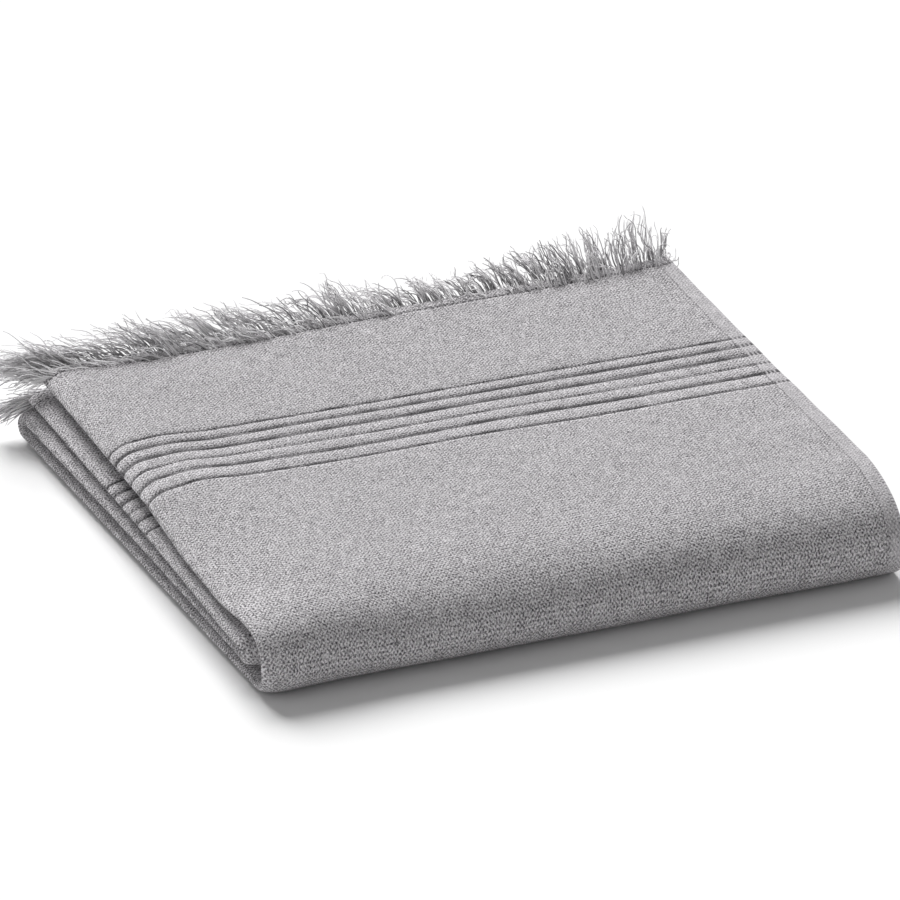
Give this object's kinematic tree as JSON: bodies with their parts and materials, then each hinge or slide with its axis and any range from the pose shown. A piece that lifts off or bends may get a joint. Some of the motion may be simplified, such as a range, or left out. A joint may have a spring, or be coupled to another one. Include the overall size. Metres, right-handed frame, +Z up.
{
  "type": "folded bath sheet",
  "caption": "Woven bath sheet with a band of stripes, hemmed ends and a loose thread fringe, folded flat in half across and in quarters along, to lie on a shelf.",
  "frame": {"origin": "middle of the flat face on which the folded sheet rests", "axes": "+X to the free selvedges, away from the closed side fold; +Y to the fringed back, away from the rounded front fold; +Z up, away from the shelf"},
  "size_m": [0.4741, 0.4497, 0.0851],
  "materials": {
    "woven_cloth": "soft matt weave in undyed pale grey with darker grey stripes",
    "fringe_threads": "loose matt warp threads in the grey of the cloth"
  },
  "bodies": {
    "root": {"cloth": "woven_cloth", "fringe_top": "fringe_threads", "fringe_under": "fringe_threads"}
  },
  "joints": []
}
